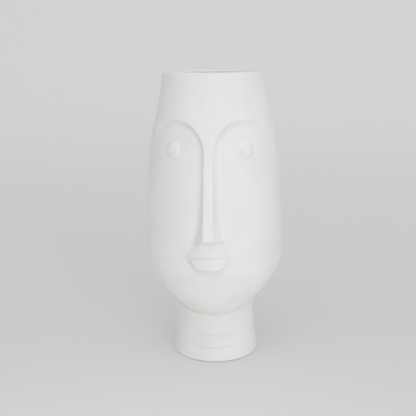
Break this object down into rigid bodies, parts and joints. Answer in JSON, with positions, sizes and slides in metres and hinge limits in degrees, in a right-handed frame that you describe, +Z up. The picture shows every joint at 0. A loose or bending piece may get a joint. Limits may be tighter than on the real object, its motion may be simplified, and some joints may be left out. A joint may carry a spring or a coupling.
{
  "type": "face vase",
  "caption": "Tall matte white ceramic vase in the form of a stylised head on a round neck, open at the top for stems, with brows, nose, ringed eyes and lips in relief.",
  "frame": {"origin": "middle of the foot ring, on the plane the vase rests on, on the axis of the neck", "axes": "+Z up out of the mouth, -Y the way the face looks, +X to the right of someone facing the vase"},
  "size_m": [0.143, 0.1512, 0.3],
  "materials": {
    "stoneware": "matte"
  },
  "bodies": {
    "root": {"head_vessel": "stoneware", "neck_stand": "stoneware", "nose": "stoneware", "eye_ring_left": "stoneware", "eye_ring_right": "stoneware", "pupil_left": "stoneware", "pupil_right": "stoneware", "upper_lip": "stoneware", "lower_lip": "stoneware"}
  },
  "joints": []
}
